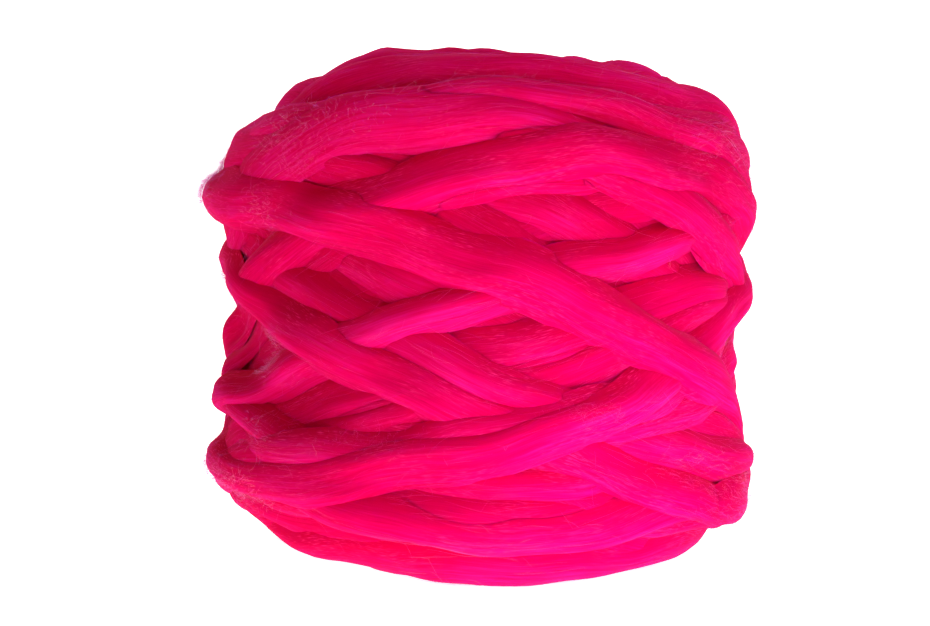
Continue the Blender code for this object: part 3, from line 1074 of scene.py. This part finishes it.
def shade_ramp(tree, value, shades):
    """The colour between three shades, dark to light, for a value."""
    ramp = add(tree, "ShaderNodeValToRGB", {"Fac": value})
    stops = ramp.color_ramp.elements
    stops.new(SHADE_PLACES[1])
    for stop, place, shade in zip(stops, SHADE_PLACES, shades):
        stop.position = place
        stop.color = shade
    return ramp.outputs[0]


def mixed(tree, factor, first, second):
    """The first colour, turning to the second as the factor goes to 1."""
    mix = add(tree, "ShaderNodeMix", {"Factor": factor}, data_type="RGBA")
    colours = [socket for socket in mix.inputs if socket.type == "RGBA"]
    tree.links.new(first, colours[0])
    colours[1].default_value = second
    return next(socket for socket in mix.outputs if socket.type == "RGBA")


def wool_colour(tree, strand, streaks, shades):
    """The wool's colour from streaks, clouds and strand number, with painted shade and light."""
    tucked = add(tree, "ShaderNodeAttribute", attribute_name="tucked").outputs["Fac"]
    place = add(tree, "ShaderNodeTexCoord").outputs["Object"]
    cloud = noise(tree, place, scale=CLOUD_SCALE, detail=2.0)
    tone = multiply_add(tree, cloud, CLOUD_SHARE, streaks["Streak"])
    tone = multiply_add(tree, strand, STRAND_SHARE, tone)
    # Painted shade darkens the tone and mixes in the shade pink; painted light pales the tone
    tone = multiply_add(tree, tucked, PAINTED_SHADING_SHARE, tone)
    painted_shade_colour = mixed(tree, tucked, shade_ramp(tree, tone, shades), PAINTED_SHADE_PINK)
    # Painted highlights: the glints mix in a pale pink
    return mixed(tree, streaks["Glint"], painted_shade_colour, GLINT_PINK)


def wool_material(name, shades, bump_distance, sheen):
    """A dyed wool of three shades, dark to light, streaked along its fibres."""
    material, tree, surface = plain_material(name, WOOL_FINISH)
    uv = add(tree, "ShaderNodeUVMap", uv_map="fibre").outputs[0]
    strand = add(tree, "ShaderNodeAttribute", attribute_name="strand").outputs["Fac"]
    on_strand = {"Fibre UV": uv, "Strand": strand}
    streaks = add(tree, "ShaderNodeGroup", on_strand, node_tree=combed).outputs
    colour = wool_colour(tree, strand, streaks, shades)
    relief = {"Height": streaks["Height"], "Strength": 1.0, "Distance": bump_distance}
    bump = add(tree, "ShaderNodeBump", relief).outputs[0]
    fill(surface, {"Base Color": colour, "Normal": bump, "Sheen Weight": sheen})
    return material


strand_shades = (DEEP_PINK, MAIN_PINK, PALE_PINK)
fibre_shades = (MAIN_PINK, PALE_PINK, FIBRE_PINK)
strand_wool = wool_material("pink_wool", strand_shades, bump_distance=0.00006, sheen=0.12)
fibre_wool = wool_material("pink_wool_fibres", fibre_shades, bump_distance=0.00005, sheen=0.10)
print("materials", strand_wool.name, "and", fibre_wool.name)

# %% [markdown]
# ## Wool on every piece
# The strands and the body take the darker wool, the loose fibres the paler one. Each piece rides
# on the part's one body and takes the wound solid's place, so the ball stays one thing.

# %% Give each piece its wool and its place in the part
for piece in roving:
    loose = "fibres" in piece.name or "fuzz" in piece.name
    piece.data.materials.append(fibre_wool if loose else strand_wool)
    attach(piece, "root")
    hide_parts("wound_roving")
print(len(roving), "pieces of wool")

# %% [markdown]
# ## Table and wall
# The ball stands on a white table in front of a white wall. The table throws a lot of light back,
# so the ball's underside is nearly as bright as its front. Two plain sheets are enough, and they
# glow, which keeps them white without lamps of their own.

# %% The floor and the backdrop
FLOOR_SIZE = 6.0
WALL_DISTANCE = 1.6
WALL_HEIGHT = 3.0
WALL_FOOT = -0.01
WHITE = 0.86
WHITE_GLOW = 1.05


def plain_sheet(name, corners, shade, glow):
    mesh = bpy.data.meshes.new(name)
    mesh.from_pydata(corners, [], [(0, 1, 2, 3)])
    finish = {"Base Color": (shade, shade, shade, 1), "Roughness": 0.9, "Specular IOR Level": 0.0}
    glowing = {"Emission Color": (1, 1, 1, 1), "Emission Strength": glow}
    mesh.materials.append(plain_material(name, finish | glowing)[0])
    return in_scene(name, mesh)


half = FLOOR_SIZE / 2
floor_corners = [(-half, -half, 0), (half, -half, 0), (half, half, 0), (-half, half, 0)]
floor = plain_sheet("floor", floor_corners, WHITE, WHITE_GLOW)
wall_z = (WALL_FOOT, WALL_FOOT, WALL_HEIGHT, WALL_HEIGHT)
wall_corners = [(x, WALL_DISTANCE, z) for x, z in zip((-half, half, half, -half), wall_z)]
backdrop = plain_sheet("backdrop", wall_corners, WHITE, WHITE_GLOW)
print("floor", FLOOR_SIZE, "m wide, wall", WALL_DISTANCE, "m behind the ball's axis")

# %% [markdown]
# ## A dark card beside the ball
# Between white surfaces both sides of the ball would be equally bright. In a studio, a dark card
# takes light away from one side. Ours is low, at the left, and hidden from the camera.

# %% The dark card
CARD_X = -0.30
CARD_FRONT = -0.50
CARD_BACK = 0.10
CARD_FOOT = 0.001
CARD_HEIGHT = 0.055
CARD_SHADE = 0.02
card_y = (CARD_FRONT, CARD_BACK, CARD_BACK, CARD_FRONT)
card_z = (CARD_FOOT, CARD_FOOT, CARD_HEIGHT, CARD_HEIGHT)
card_corners = [(CARD_X, y, z) for y, z in zip(card_y, card_z)]
dark_card = plain_sheet("dark_card", card_corners, CARD_SHADE, 0)
dark_card.visible_camera = False
print("card", round(1000 * CARD_HEIGHT), "mm high")

# %% [markdown]
# ## Two lamps
# The key light is a soft square lamp, high at the right in front of the ball, so each strand gets
# a bright upper side and a soft shadow. A weak lamp that lies on the table adds the light that a
# brightly lit table throws up at the lower half.

# %% The key light and the table light
Lamp = namedtuple("Lamp", "name place aim size watts colour")
LAMPS = (
    Lamp("key_light", (0.60, -0.55, 1.15), (0, 0, 0.12), 0.40, 4.8, (1.0, 0.85, 1.4)),
    Lamp("table_light", (0.08, -0.21, 0.004), (0, -0.06, 0.02), 0.20, 0.30, (0.85, 1.1, 1.8)),
)
for lamp in LAMPS:
    area = bpy.data.lights.new(lamp.name, "AREA")
    area.size = lamp.size
    area.energy = lamp.watts
    area.color = lamp.colour
    light = in_scene(lamp.name, area)
    light.location = lamp.place
    x, y, z = np.subtract(lamp.aim, lamp.place)
    light.rotation_euler = (math.atan2(math.hypot(x, y), -z), 0, math.atan2(-x, y))
    print(lamp.name, lamp.watts, "W")

# %% [markdown]
# ## The room
# The room fills the shadows with a dim warm light from all sides, but where it shows it has to be
# white. The Light Path node tells the camera's rays from all others, so it can be both.

# %% The surroundings
ROOM_LIGHT, ROOM_STRENGTH = (1, 0.75, 0.5, 1), 0.16
SEEN_STRENGTH = 1.2
world = bpy.data.worlds.new("studio")
world.use_nodes = True
room = world.node_tree
dim = room.nodes["Background"]
fill(dim, {"Color": ROOM_LIGHT, "Strength": ROOM_STRENGTH})
white = add(room, "ShaderNodeBackground", {"Color": (1, 1, 1, 1), "Strength": SEEN_STRENGTH})
seen = add(room, "ShaderNodeLightPath").outputs["Is Camera Ray"]
choice = {0: seen, 1: dim.outputs[0], 2: white.outputs[0]}
either = add(room, "ShaderNodeMixShader", choice).outputs[0]
fill(room.nodes["World Output"], {"Surface": either})
bpy.context.scene.world = world
bpy.context.scene.view_settings.view_transform = "Standard"
print("room light", ROOM_STRENGTH)

# %% [markdown]
# ## The camera
# The camera looks level at the middle of the ball from two thirds of a metre, through a short
# portrait lens. A small shift puts the ball a little right of the middle of the picture.

# %% Camera
CAMERA_DISTANCE = 0.675
LENS_MM = 51.56
SENSOR_MM = 36.0
IMAGE_WIDTH = 930
AXIS_RIGHT_OF_CENTRE_PX = 20.2
MIDDLE_BELOW_CENTRE_PX = 4.4
camera_data = bpy.data.cameras.new("camera")
camera_data.sensor_width = SENSOR_MM
camera_data.lens = LENS_MM
camera_data.shift_x = -AXIS_RIGHT_OF_CENTRE_PX / IMAGE_WIDTH
camera_data.shift_y = MIDDLE_BELOW_CENTRE_PX / IMAGE_WIDTH
camera_data.clip_start = 0.01
camera = in_scene("camera", camera_data)
axis_x, axis_y = -shape.centre
camera.location = (axis_x, axis_y - CAMERA_DISTANCE, HALF_HEIGHT - FLAT_SPOT_PRESS)
camera.rotation_euler = (math.pi / 2, 0, 0)
bpy.context.scene.camera = camera
print("camera at", [round(v, 3) for v in camera.location])
